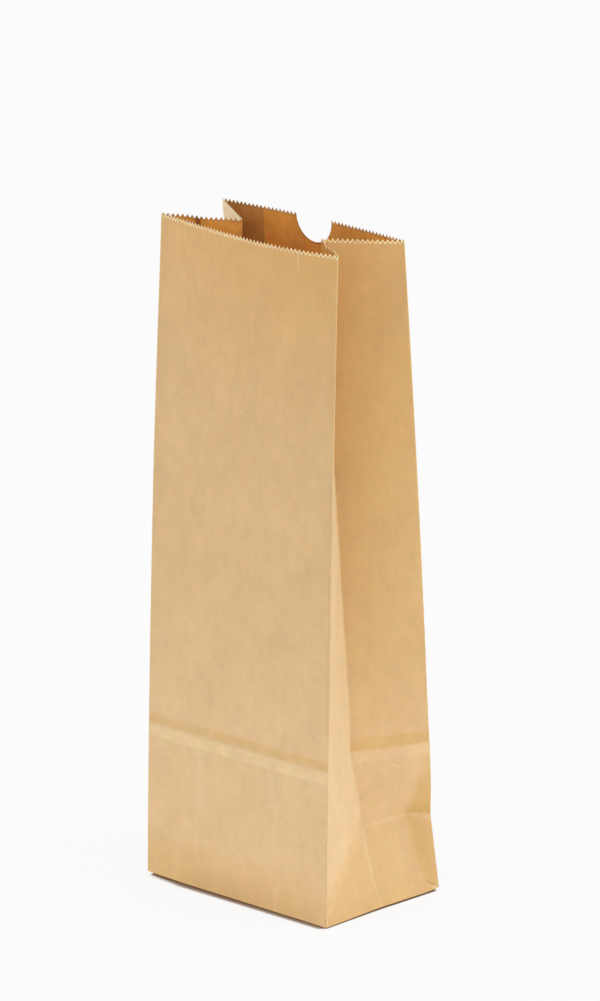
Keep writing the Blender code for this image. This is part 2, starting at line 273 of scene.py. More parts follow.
# Gusset above the crease point: each half is ruled from its panel's fold to the gusset's fold,
# with a ripple on the front half at the rim and a belly on the back half
def gussetHigh(t, h, side):
    fold = gussetFold(h, side)
    onFront = t <= halfDepth
    share = np.where(onFront, t, depth - t) / halfDepth
    edge = np.where(onFront[..., None], frontFold(h, side), backFold(h))
    rim = smoothStep(stance["rippleStart"] * height, height, h)
    ripple = stance["rippleOut"] * bell(*stance["rippleOutPlace"], share)
    ripple = ripple - stance["rippleIn"] * bell(*stance["rippleInPlace"], share)
    climb = np.clip((h - halfDepth) / (height - halfDepth), 0.0, 1.0)
    belly = stance["gussetBelly"] * np.sin(math.pi * share) * np.sin(math.pi * climb)
    swell = np.where(onFront, ripple * rim, belly)
    run = fold - edge
    outward = np.stack([np.abs(run[..., 1]), np.where(onFront, -run[..., 0], run[..., 0]), 0 * h], -1)
    outward = outward / np.linalg.norm(outward, axis=-1, keepdims=True)
    point = between(edge, fold, share) + outward * swell[..., None]
    if side > 0:
        point = point + dent["shift"] * (dentShare(t, h) * (t > halfDepth))[..., None]
    return point


def gusset(t, h, side):  # t from the front fold; the left gusset is the mirror of the right one
    point = np.where((h < halfDepth)[..., None], gussetLow(t, h, side), gussetHigh(t, h, side))
    return point * np.array([side, 1.0, 1.0])


# The four panels side by side, for any s and h from the bottom fold up
def panelPoint(s, h):
    s = np.mod(s, aroundSheet)
    panels = [
        frontPanel(np.clip(s / width, 0, 1), h),
        gusset(np.clip(s - width, 0, depth), h, 1),
        backPanel(np.clip((s - backStart) / width, 0, 1), h),
    ]
    left = gusset(np.clip(aroundSheet - s, 0, depth), h, -1)
    where = [s < width, s < backStart, s < leftStart]
    return np.select([w[..., None] for w in where], panels, left)


def foldDistance(s):  # distance along the sheet to the nearest upright fold
    gap = np.abs(np.mod(s[..., None] - foldPlaces + aroundSheet / 2, aroundSheet) - aroundSheet / 2)
    return gap.min(-1)


# A fold is rounded by taking the mean of the places a little to both sides of it
def roundedPoint(s, h):
    reach = np.maximum(sheet["foldRadius"] - foldDistance(s), 0.0)
    return (panelPoint(s - reach, h) + panelPoint(s + reach, h)) / 2


bottom = {
    "dishReach": 0.013,  # the bottom's edge curls up over this length
    "wallReach": 0.050,  # the walls take up that curl over this height
    "edgePlaces": (-1.0, -0.6, 0.0, 0.75, 1.0),  # along each side, from end to end
    "frontLift": (0.0017, 0.0011, 0.0009, 0.0006, 0.0004),  # from the left corner to the right
    "rightLift": (0.0004, 0.0006, 0.0009, 0.0010, 0.0016),  # from the front corner to the back
    "backLift": (0.0010, 0.0011, 0.0011, 0.0012, 0.0016),
    "leftLift": (0.0017, 0.0012, 0.0010, 0.0010, 0.0010),
    "level": 0.00022,  # from one ply of the bottom to the next
    "plies": {"back": 0, "front": 1, "right": 2, "left": 2},  # plies below each flap
    "inset": 0.012,  # the share by which a side flap is narrower than the bottom
    "rampReach": 0.0020,  # a flap takes its level and its inset up over this length
}


# Height of the bottom's outer face: each side's own lift, dying out inward, and the highest wins
def dishHeight(x, y):
    sides = []
    for name, along, gap in (
        ("frontLift", x / halfWidth, halfDepth + y),
        ("rightLift", y / halfDepth, halfWidth - x),
        ("backLift", x / halfWidth, halfDepth - y),
        ("leftLift", y / halfDepth, halfWidth + x),
    ):
        lift = np.interp(along, bottom["edgePlaces"], bottom[name])
        sides.append(lift * (1.0 - smoothStep(0.0, bottom["dishReach"], gap)))
    return np.max(sides, axis=0)


relief = {
    "bandHeight": 0.0802,  # the crease that the folded bottom's far edge left
    "bandDepth": 0.00013,
    "bandWidth": 0.0024,
    "ridgeHeight": 0.0746,  # the ridge below it
    "ridgeRise": 0.00022,
    "ridgeWidth": 0.0030,
    "slackShare": 0.1,  # share of both on the right gusset's front half
    "calmReach": 0.012,  # the folds keep the paper flat over this length
    "seamRamp": (0.030, 0.020),  # outside, the rise to the seam starts this far before the lap, and
    # ends this far before the lap's outer edge
}


# Relief of the sheet along its outward normal: the crease band, the seam's step and soft buckles
def reliefAt(s, h):
    calm = np.sqrt(np.clip(foldDistance(s) / relief["calmReach"], 0.0, 1.0))
    band = relief["ridgeRise"] * bell(relief["ridgeHeight"], relief["ridgeWidth"], h)
    band = band - relief["bandDepth"] * bell(relief["bandHeight"], relief["bandWidth"], h)
    band = band * np.where((s > width) & (s < width + halfDepth), relief["slackShare"], 1.0)
    buckles = 0.0
    for place, reach, rise, tall, deep in softBuckles:
        buckles = buckles + deep * bell(place, reach, s) * bell(rise, tall, h)
    rampStart, rampEnd = lapEnd - relief["seamRamp"][0], seamEdge - relief["seamRamp"][1]
    seam = sheet["ply"] * smoothStep(rampStart, rampEnd, s) * (s < seamEdge)
    return calm * band + calm * buckles + np.where(h > 0.0, seam, 0.0)


# Soft buckles: s, reach along s, h, reach along h, height
softBuckles = (
    (0.020, 0.0030, 0.322, 0.012, -0.00025),
    (0.0925, 0.0020, 0.324, 0.009, -0.00025),
    (0.028, 0.0030, 0.052, 0.016, 0.00022),
    (0.086, 0.0030, 0.014, 0.008, 0.00022),
    (0.060, 0.030, 0.210, 0.060, -0.00070),
    (0.034, 0.024, 0.130, 0.050, 0.00050),
    (0.096, 0.020, 0.120, 0.040, 0.00040),
    (0.180, 0.020, 0.200, 0.060, 0.00050),
    (0.176, 0.014, 0.100, 0.030, -0.00040),
    (0.240, 0.030, 0.190, 0.070, 0.00080),
    (0.290, 0.025, 0.120, 0.050, -0.00060),
    (0.345, 0.015, 0.200, 0.060, 0.00050),
)


def toothWave(place):  # 0 at a tooth's root and 1 at its tip, with straight flanks
    phase = np.mod(place / sheet["toothPitch"], 1.0)
    return 1.0 - np.abs(2.0 * phase - 1.0)


# The rim's height: the teeth, or inside the thumb notch a half ellipse hung from their middles
def rimHeight(s):
    teeth = height + sheet["toothHeight"] * toothWave(s)
    across = np.abs(s - backStart - halfWidth - sheet["notchShift"])
    drop = np.sqrt(np.maximum(sheet["notchRadius"] ** 2 - across ** 2, 0.0))
    drop = drop * sheet["notchDepth"] / sheet["notchRadius"]
    return np.where(across < sheet["notchRadius"], height + sheet["toothHeight"] / 2 - drop, teeth)


grid = {
    "notchColumns": 29,
    "seamStep": 0.0001,  # half width of the step at each edge of the lap
    "closest": 0.00005,  # columns nearer than this are one
    "footRows": (0.0, 0.0004, 0.0009),
    "lowStep": 0.00125,  # from row to row below the crease
    "lowEnd": 0.0010,  # those rows end this far below it
    "creaseStep": 0.0006,
    "middle": (0.0022, 0.0665, 0.0024),  # first row's height above the crease, end and step
    "band": (0.0680, 0.0865, 0.0010),  # start, end and step
    "highStart": 0.0890,
    "highRows": 34,
    "shoulder": height - 0.025,  # above this the rows close up to the rim's outline
    "shares": (0.16, 0.33, 0.50, 0.67, 0.84),
    "rimStep": 0.0005,
}


# Columns: a root and a tip of each tooth, and more beside the folds, the seam and in the notch
def columnStops():
    stops = list(np.arange(0.0, aroundSheet - 1e-9, sheet["toothPitch"] / 2))
    for fold in foldPlaces:
        stops += [fold + shift * sheet["foldRadius"] for shift in (-2, -1, 1, 2)]
    for edge in (seamEdge, lapEnd):
        stops += [edge - grid["seamStep"], edge + grid["seamStep"]]
    turn = np.linspace(0.0, math.pi, grid["notchColumns"])
    notch = backStart + halfWidth + sheet["notchShift"]
    stops += list(notch - sheet["notchRadius"] * np.cos(turn))
    stops = np.sort(np.mod(np.array(stops), aroundSheet))
    return stops[np.concatenate([[True], np.diff(stops) > grid["closest"]])]


# Rows: as close as the columns up to the crease, close again on the band, wider above
def rowStops():
    first, end, step = grid["middle"]
    return np.concatenate([
        grid["footRows"],
        np.arange(grid["lowStep"], halfDepth - grid["lowEnd"], grid["lowStep"]),
        halfDepth + grid["creaseStep"] * np.array([-1, 0, 1]),
        np.arange(halfDepth + first, end, step),
        np.arange(*grid["band"]),
        np.linspace(grid["highStart"], grid["shoulder"], grid["highRows"]),
    ])


# Heights of the rows above the shoulder in every column: shares of the way up to the rim's
# outline, and the last two steps are a fixed length
def topRows(stops):
    rim, step, shoulder = rimHeight(stops), grid["rimStep"], grid["shoulder"]
    rows = shoulder + (rim - 2 * step - shoulder) * np.array(grid["shares"])[:, None]
    return np.concatenate([rows, [rim - 2 * step], [rim - step], [rim]])


# The walls: every row and column of the sheet above the bottom fold. A wall starts at the height
# of the bottom's edge and takes that up over wallReach
def wallGrid(stops):
    rows = rowStops()
    h = np.concatenate([np.broadcast_to(rows[:, None], (len(rows), len(stops))), topRows(stops)])
    s = np.broadcast_to(stops, h.shape)
    point = roundedPoint(s, h)
    step = 0.0002
    alongS = panelPoint(s + step, h) - panelPoint(s - step, h)
    alongH = panelPoint(s, h + step) - panelPoint(s, np.maximum(h - step, 0.0))
    normal = np.cross(alongS, alongH)
    normal = normal / np.linalg.norm(normal, axis=-1, keepdims=True)
    point = point + normal * reliefAt(s, h)[..., None]
    foot = point[0]
    lift = dishHeight(foot[:, 0], foot[:, 1])
    point[..., 2] += lift * (1.0 - smoothStep(0.0, bottom["wallReach"], h))
    return s, h, point


# One bottom flap, from its cut edge to the fold: a front or back flap is folded to 45 degrees at
# both sides, so it narrows as it reaches inward, and a side flap stays straight
def flapGrid(side, stops, footX, footY):
    shares = np.array([1.0, 0.985, 0.95, 0.88, 0.78, 0.66, 0.54, 0.42, 0.32, 0.24, 0.17, 0.115])
    near = np.array([0.0035, 0.0020, 0.0010, 0.0004])[:, None]
    onEnds = side in ("front", "back")
    cutPlace = footX * (1.0 - sheet["flap"] / halfWidth) if onEnds else footY
    reach = sheet["flap"] + sheet["toothHeight"] * toothWave(cutPlace)
    d = np.concatenate([shares[:, None] * reach, near + 0.0 * stops])
    ramp = smoothStep(0.0, bottom["rampReach"], d)
    if onEnds:
        x = footX * (1.0 - d / halfWidth)
        y = footY + d if side == "front" else footY - d
    else:
        x = footX - d if side == "right" else footX + d
        y = footY * (1.0 - bottom["inset"] * ramp)
    z = dishHeight(x, y) + bottom["plies"][side] * bottom["level"] * ramp
    return np.broadcast_to(stops, d.shape), -d, np.stack([x, y, z], -1)


wearAndShading = {
    # worn lines are pale wear outside and painted shade inside
    "foldLine": 0.0005,  # half width of the pale line along an upright fold
    "foldShare": 0.36,
    "foldHeights": (0.08, 0.20),  # it comes in between these heights
    "foldGap": 0.002,  # a gusset's own fold has none, this far to both sides
    "cutReach": 0.0010,  # width of the pale line along the cut rim
    # painted light on the crease band's ridge and painted shade in its groove
    "ridge": ((0.0709, 0.0722), (0.0763, 0.0779)),  # the pale ridge starts and ends between these
    "groove": ((0.0773, 0.0790), (0.0815, 0.0840)),  # and the dark line above it
    "gussetRidge": 0.45,  # share of the ridge on the gussets
    "slackShare": 0.15,  # share of both on their front halves
}

# Painted shade and light by height: 1 is the deep tone of painted shade and -1 the pale one of painted
# light
paintedShading = {
    "heights": (0.0, 0.010, 0.024, 0.070, 0.120, 0.170, 0.230, 0.280, 0.330),
    "front": (0.36, 0.20, -0.12, -0.16, -0.08, -0.02, 0.0, 0.22, 0.58),
    "strip": (0.05, 0.0, -0.14, -0.20, -0.04, -0.05, 0.0, 0.30, 0.50),
    "fan": (0.35, 0.20, 0.15, 0.0, 0.0, 0.0, 0.0, 0.0, 0.0),
    "gusset": (0.30, 0.18, 0.12, -0.10, 0.22, 0.32, 0.50, 0.50, 0.52),
    "blend": (-0.003, 0.004),  # two tones pass into each other over this
    "fanStart": 0.010,  # the fan reaches this high at the front fold
    "fanSlope": 0.9,  # and this much higher for each unit inward
    # painted shade deeper to the right at the front's rim, and less of it at the front's right foot
    "rimLean": 0.5,  # at the rim the front is deeper to the right by this share
    "leanHeights": (0.20, 0.30),
    "corner": 0.25,  # less deep tone at the front's right foot
    "cornerPlaces": (0.095, 0.118),
    "cornerHeight": 0.030,
    # painted light on the left gusset's back half at the rim
    "leftRim": -0.9,  # the left gusset's back half at the rim
    "leftHeights": (0.21, 0.30),
    # painted shade in the right gusset's dent, below and above its crease
    "kinkTone": 0.6,
    "kinkBlend": 0.003,
    "kinkFade": 0.35,  # share that is lost from the kink to the back fold
    "dentTone": (0.45, 0.55),  # above the crease: everywhere, and more just above it
    "dentReach": 0.010,
    "dentEnd": 0.055,
}


# Painted shade in the dent below its crease: from the kink on, fading straight to the back fold
def dentShadeBelow(t, h):
    kink = np.interp(h, dent["kinkHeights"], dent["kinkPlaces"])
    fade = 1.0 - paintedShading["kinkFade"] * (t - kink) / (depth - dent["knee"])
    start = smoothStep(kink - paintedShading["kinkBlend"], kink + paintedShading["kinkBlend"], t)
    return paintedShading["kinkTone"] * start * fade * (h <= halfDepth)


# And painted shade above it: behind a line from the knee up to the dent's top, fading as e^-(rise /
# dentReach)
def dentShadeAbove(t, h):
    rise = np.maximum(h - halfDepth, 0.0)
    edge = dent["knee"] + rise * (depth - dent["knee"]) / (dent["top"][1] - halfDepth)
    level, more = paintedShading["dentTone"]
    tone = level + more * np.exp(-rise / paintedShading["dentReach"])
    tone = tone * (1.0 - smoothStep(paintedShading["dentEnd"], dent["top"][1], h))
    return smoothStep(*paintedShading["blend"], t - edge) * tone * (h > halfDepth)


# The share of painted shade (deep tone) and painted light (pale tone) outside: by height on each panel,
# more painted shade in the right gusset's dent, and painted light on the left gusset's back half at the
# rim
def paintedShadingAt(s, h, t):
    tones = [np.interp(h, paintedShading["heights"], paintedShading[k]) for k in ("front", "strip", "fan", "gusset")]
    front, strip, fan, back = tones
    fanEdge = paintedShading["fanStart"] + paintedShading["fanSlope"] * t
    strip = fan + (strip - fan) * smoothStep(*paintedShading["blend"], h - fanEdge)
    lean = (np.clip(s / width, 0.0, 1.0) - 0.5) * smoothStep(*paintedShading["leanHeights"], h)
    corner = 1.0 - smoothStep(0.0, paintedShading["cornerHeight"], h)
    front = front - paintedShading["corner"] * smoothStep(*paintedShading["cornerPlaces"], s) * corner
    onRight = (s > width) & (s < backStart)
    onLeft = s > leftStart
    shade = np.where(s <= width, front * (1.0 + paintedShading["rimLean"] * lean), back)
    shade = np.where((onRight | onLeft) & (t < halfDepth), strip, shade)
    leftRim = paintedShading["leftRim"] * smoothStep(*paintedShading["leftHeights"], h)
    shade = np.where(onLeft & (t > halfDepth), leftRim, shade)
    dentShade = np.maximum(dentShadeBelow(t, h), dentShadeAbove(t, h))
    return np.where(onRight & (dentShade > 0.0), np.maximum(shade, dentShade), shade)


def bandShare(edges, h):  # 1 between a start and an end that are each passed smoothly
    return smoothStep(*edges[0], h) * (1.0 - smoothStep(*edges[1], h))


# Paint of the sheet, as one value for each vertex. worn: where a fold or the cut rim has rubbed, pale
# wear outside and painted shade inside. creased: -1 in the painted shade of the crease band's groove, +1
# in the painted light of the ridge below it. deep: painted shade and painted light. lap: the seam
# inside. lit: 1 where the cut rim is painted pale and lit, 0 where it gets painted shade
def sheetPaint(s, h):
    t = np.where(s < backStart, s - width, np.where(s > leftStart, aroundSheet - s, -1.0))
    onGusset = (t >= 0.0) & (t <= depth)
    panelFold = np.abs(t - halfDepth) > wearAndShading["foldGap"]
    wornshade = wearAndShading["foldShare"] * bell(0.0, wearAndShading["foldLine"], foldDistance(s)) * panelFold
    wornshade = wornshade * smoothStep(*wearAndShading["foldHeights"], h)
    wornshade = np.maximum(wornshade, np.clip(2.0 - 2.0 * (rimHeight(s) - h) / wearAndShading["cutReach"], 0.0, 1.0))
    groove = bandShare(wearAndShading["groove"], h)
    frontHalf = onGusset & (t < halfDepth)
    ridge = bandShare(wearAndShading["ridge"], h) * np.where(onGusset, wearAndShading["gussetRidge"], 1.0)
    creased = (ridge - groove) * np.where(frontHalf, wearAndShading["slackShare"], 1.0)
    # the groove's painted shade also deepens the painted tone on the gussets' back halves
    deep = paintedShadingAt(s, h, t) + groove * (onGusset & ~frontHalf)
    lap = (s > lapEnd) & (s < seamEdge) & (h > 0.0)
    lit = (s < backStart) | ((s > leftStart) & (t > halfDepth))
    return {"wornshade": wornshade, "creased": creased, "deep": deep, "lap": lap * 1.0, "lit": lit * 1.0}


def quadCells(index):  # one quad for each cell of a grid of vertex numbers
    corners = [index[:-1, :-1], index[:-1, 1:], index[1:, 1:], index[1:, :-1]]
    return np.stack(corners, -1).reshape(-1, 4)


# The whole sheet as one mesh: the ring of walls and the four flaps, joined at the bottom folds
def makeSheet():
    stops = columnStops()
    s, h, point = wallGrid(stops)
    ring = np.arange(s.size).reshape(s.shape)
    ringClosed = np.concatenate([ring, ring[:, :1]], 1)
    sClosed = np.concatenate([s, s[:, :1] + aroundSheet], 1)
    hClosed = np.concatenate([h, h[:, :1]], 1)
    parts = [(s, h, point)]
    cells = [(ringClosed, sClosed, hClosed)]
    count = s.size
    stopsClosed = np.append(stops, aroundSheet)
    bounds = np.searchsorted(stopsClosed, [0.0, width, backStart, leftStart, aroundSheet])
    for k, side in enumerate(("front", "right", "back", "left")):
        pick = slice(bounds[k], bounds[k + 1] + 1)
        foot = point[0][ringClosed[0, pick]]
        flapS, flapH, flapPoint = flapGrid(side, stopsClosed[pick], foot[:, 0], foot[:, 1])
        index = count + np.arange(flapS.size).reshape(flapS.shape)
        fold = (ringClosed[:1, pick], flapS[:1], 0.0 * flapH[:1])
        parts.append((flapS, flapH, flapPoint))
        cells.append([np.concatenate(pair) for pair in zip((index, flapS, flapH), fold)])
        count += flapS.size
    places = [np.concatenate([part[k].ravel() for part in parts]) for k in (0, 1)]
    points = np.concatenate([part[2].reshape(-1, 3) for part in parts])
    quads, uvS, uvH = [np.concatenate([quadCells(cell[k]) for cell in cells]) for k in range(3)]
    mesh = bpy.data.meshes.new("kraftBag")
    mesh.from_pydata(points.tolist(), [], quads.tolist())
    layer = mesh.uv_layers.new(name="sheet")
    layer.data.foreach_set("uv", np.stack([uvS, uvH], -1).ravel().astype(np.float32))
    paint = sheetPaint(*places)
    for name, values in paint.items():
        attribute = mesh.attributes.new(name, "FLOAT", "POINT")
        attribute.data.foreach_set("value", np.asarray(values, np.float32))
    mesh.shade_smooth()
    mesh.update()
    return mesh, np.nonzero(paint["lap"] > 0.5)[0]


# Small helpers for node trees and objects

def feed(tree, socket, value):  # a socket takes a link from another socket, or a plain value
    if isinstance(value, bpy.types.NodeSocket):
        tree.links.new(value, socket)
    else:
        socket.default_value = value


def addNode(tree, kind, inputs=None, **settings):  # inputs by name or number
    node = tree.nodes.new("ShaderNode" + kind)
    for name, value in settings.items():
        setattr(node, name, value)
    for key, value in (inputs or {}).items():
        feed(tree, node.inputs[key], value)
    return node


def doMath(tree, operation, *values):
    return addNode(tree, "Math", dict(enumerate(values)), operation=operation).outputs[0]


def mixColour(tree, share, first, second):
    return addNode(tree, "Mix", {0: share, 6: first, 7: second}, data_type="RGBA").outputs[2]


def mixShader(tree, share, first, second):
    inputs = {0: share, 1: first.outputs[0], 2: second.outputs[0]}
    return addNode(tree, "MixShader", inputs)


def doVector(tree, operation, *values):  # gives a vector and a value, as the operation has one
    return addNode(tree, "VectorMath", dict(enumerate(values)), operation=operation).outputs


def scaled(tree, vector, factor):
    return addNode(tree, "VectorMath", {0: vector, 3: factor}, operation="SCALE").outputs[0]


def painted(tree, name):  # a value of sheetPaint
    return addNode(tree, "Attribute", attribute_name=name).outputs["Fac"]


def newMaterial(name):  # with an empty node tree
    material = bpy.data.materials.new(name)
    material.use_nodes = True
    material.node_tree.nodes.clear()
    return material, material.node_tree


def newObject(name, data):  # in the scene
    made = bpy.data.objects.new(name, data)
    bpy.context.scene.collection.objects.link(made)
    return made


# Noises on the sheet: a spot's size across and along it, detail, and a shift that sets it apart
noises = {
    "clouds": (0.024, 0.034, 2.0, 3.7),
    "patches": (0.0090, 0.0130, 1.0, 7.1),
    "mottle": (0.0045, 0.0060, 3.0, 11.3),
    "grain": (0.00075, 0.0060, 2.0, 29.1),
    "fine": (0.00045, 0.00060, 2.0, 47.9),
    "darkSpots": (0.0006, 0.0042, 0.0, 83.0),
    "paleSpots": (0.0006, 0.0030, 0.0, 131.0),
    "patchiness": (0.009, 0.004, 2.0, 61.0),
    "scuffs": (0.0030, 0.0030, 2.0, 17.0),
    "roughness": 0.55,
}

# How the noises count together, beside 1 for the mottle and 1 for the grain
mixing = {
    "clouds": 1.2,
    "patches": 0.9,
    "fine": 0.6,
    "darkFrom": 0.28,  # only what rises above this makes a fleck
    "paleFrom": 0.30,
    "reliefMottle": 1.5,
    # it also breaks up the crease band's painted light and shade
    "patchiness": (1.6, 0.85),  # factor and level of what breaks up the worn lines
    "scuffs": (1.8, 0.95),  # and the marks
    "bump": 0.00006,  # height of the fibres
}


def sheetNoise(tree, place, name):  # one of the noises, centred on 0
    acrossSize, alongSize, detail, shift = noises[name]
    factors = (1.0 / acrossSize, 1.0 / alongSize, 1.0)
    stretched = doVector(tree, "MULTIPLY_ADD", place, factors, (shift, shift, shift))[0]
    inputs = {"Vector": stretched, "Scale": 1.0, "Detail": detail, "Roughness": noises["roughness"]}
    noise = addNode(tree, "TexNoise", inputs, noise_dimensions="2D")
    return doMath(tree, "SUBTRACT", noise.outputs[0], 0.5)


def newGroup(name, inputs, outputs):  # a node group, with each socket's name and kind
    tree = bpy.data.node_groups.new(name, "ShaderNodeTree")
    for direction, sockets in (("INPUT", inputs), ("OUTPUT", outputs)):
        for key, kind in sockets.items():
            tree.interface.new_socket(key, in_out=direction, socket_type="NodeSocket" + kind)
    given, made = tree.nodes.new("NodeGroupInput"), tree.nodes.new("NodeGroupOutput")
    return tree, given.outputs, made.inputs


# Fibres of kraft paper: broad clouds, mottling, upright grain, and dark and pale flecks.
# Tone multiplies the paper's colour, and Height is for a bump
def paperGrain():
    tree, given, made = newGroup(
        "paperGrain",
        {"Place": "Vector", "Mottle": "Float", "Grain": "Float", "Flecks": "Float"},
        {"Tone": "Float", "Height": "Float"},
    )
    place = given["Place"]
    mottle = sheetNoise(tree, place, "mottle")
    spread = doMath(tree, "MULTIPLY_ADD", sheetNoise(tree, place, "clouds"), mixing["clouds"], mottle)
    spread = doMath(tree, "MULTIPLY_ADD", sheetNoise(tree, place, "patches"), mixing["patches"], spread)
    tone = doMath(tree, "MULTIPLY_ADD", spread, given["Mottle"], 1.0)
    grain = sheetNoise(tree, place, "grain")
    fibres = doMath(tree, "MULTIPLY_ADD", sheetNoise(tree, place, "fine"), mixing["fine"], grain)
    tone = doMath(tree, "MULTIPLY_ADD", fibres, given["Grain"], tone)
    dark = doMath(tree, "SUBTRACT", sheetNoise(tree, place, "darkSpots"), mixing["darkFrom"])
    pale = doMath(tree, "SUBTRACT", sheetNoise(tree, place, "paleSpots"), mixing["paleFrom"])
    dark, pale = doMath(tree, "MAXIMUM", dark, 0.0), doMath(tree, "MAXIMUM", pale, 0.0)
    flecks = doMath(tree, "SUBTRACT", pale, dark)
    tone = doMath(tree, "MULTIPLY_ADD", flecks, given["Flecks"], tone)
    feed(tree, made["Tone"], tone)
    feed(tree, made["Height"], doMath(tree, "MULTIPLY_ADD", mottle, mixing["reliefMottle"], fibres))
    return tree


# The colour of the sheet: the paper's own, deeper or paler with painted shade or light, painted light
# on the crease band's ridge, painted shade in its groove, and worn lines, the last two broken up by
# noise
def sheetColour():
    tree, given, made = newGroup(
        "sheetColour",
        {"Place": "Vector", "Tone": "Float", "Wornshade": "Float", "Creased": "Float", "Deep": "Float",
         "Paper": "Color", "Shadowed": "Color", "Brightened": "Color", "Rubbedshade": "Color",
         "Ridge": "Color", "Groove": "Color"},
        {"Color": "Color"},
    )
    patchiness = sheetNoise(tree, given["Place"], "patchiness")
    patchy = doMath(tree, "MULTIPLY_ADD", patchiness, *mixing["patchiness"])
    below = doMath(tree, "MULTIPLY", given["Creased"], -1.0)
    shares = {
        "Shadowed": given["Deep"],
        "Brightened": doMath(tree, "MULTIPLY", given["Deep"], -1.0),
        "Ridge": doMath(tree, "MULTIPLY", doMath(tree, "MAXIMUM", given["Creased"], 0.0), patchy),
        "Groove": doMath(tree, "MULTIPLY", doMath(tree, "MAXIMUM", below, 0.0), patchy),
        "Rubbedshade": doMath(tree, "MULTIPLY", given["Wornshade"], patchy),
    }
    colour = given["Paper"]
    for name, share in shares.items():
        colour = mixColour(tree, share, colour, given[name])
    feed(tree, made["Color"], scaled(tree, colour, given["Tone"]))
    return tree


outerFinish = {
    "paper": (0.688, 0.461, 0.237, 1),
    # the colours of painted shade and painted light
    "shadowed": (0.625, 0.390, 0.133, 1),
    "brightened": (0.798, 0.640, 0.430, 1),
    "rubbedshade": (1.00, 0.85, 0.54, 1),
    "paleMark": (0.90, 0.76, 0.54, 1),
    # darkMark also gives the painted shade in the dent
    "darkMark": (0.22, 0.12, 0.05, 1),
    # ridge and groove: painted light and painted shade of the crease band
    "ridge": (0.76, 0.55, 0.31, 1),
    "groove": (0.665, 0.432, 0.200, 1),
    "mottle": 0.10,
    "grain": 0.064,
    "flecks": 0.8,
    "roughness": 0.72,
}

# The inside's colours are painted light and shade: the deeper orange stands for light that bounces
# inside the bag and comes through the paper; worn lines, the lapped seam and dark marks are painted
# shade, the pale marks painted highlights, and ridge and groove the crease band's painted light and
# shade
innerShadedFinish = {
    "paper": (0.722, 0.412, 0.094, 1),
    "shadowed": (0.722, 0.412, 0.094, 1),
    "brightened": (0.76, 0.45, 0.12, 1),
    "rubbedshade": (0.40, 0.19, 0.055, 1),
    "paleMark": (0.80, 0.50, 0.14, 1),
    "darkMark": (0.25, 0.08, 0.03, 1),
    "ridge": (0.72, 0.41, 0.10, 1),
    "groove": (0.64, 0.34, 0.07, 1),
    # painted shade on the lap, where two plies let less light through
    "lapped": (0.46, 0.185, 0.094, 1),
    "mottle": 0.30,
    "grain": 0.06,
    "flecks": 1.5,
    "roughness": 0.75,
}

paperBody = {
    "Specular IOR Level": 0.2,
    "Subsurface Weight": 0.6,  # share of the light that goes into the paper
    "Subsurface Scale": 0.0004,  # how far it gets, times a factor for each colour
    "Subsurface Radius": (1.0, 0.45, 0.15),
}


# A mark on the sheet from Start to End: 1 on the line between them, falling to 0 at Width from it
def sheetMark():
    tree, given, made = newGroup(
        "sheetMark",
        {"Place": "Vector", "Start": "Vector", "End": "Vector", "Width": "Float"},
        {"Mask": "Float"},
    )
    reach = doVector(tree, "SUBTRACT", given["Place"], given["Start"])[0]
    line = doVector(tree, "SUBTRACT", given["End"], given["Start"])[0]
    shadow = doVector(tree, "DOT_PRODUCT", reach, line)[1]
    along = doMath(tree, "DIVIDE", shadow, doVector(tree, "DOT_PRODUCT", line, line)[1])
    along = doMath(tree, "MINIMUM", doMath(tree, "MAXIMUM", along, 0.0), 1.0)
    gap = doVector(tree, "SUBTRACT", reach, scaled(tree, line, along))[0]
    distance = doMath(tree, "DIVIDE", doVector(tree, "LENGTH", gap)[1], given["Width"])
    feed(tree, made["Mask"], doMath(tree, "MAXIMUM", doMath(tree, "SUBTRACT", 1.0, distance), 0.0))
    return tree


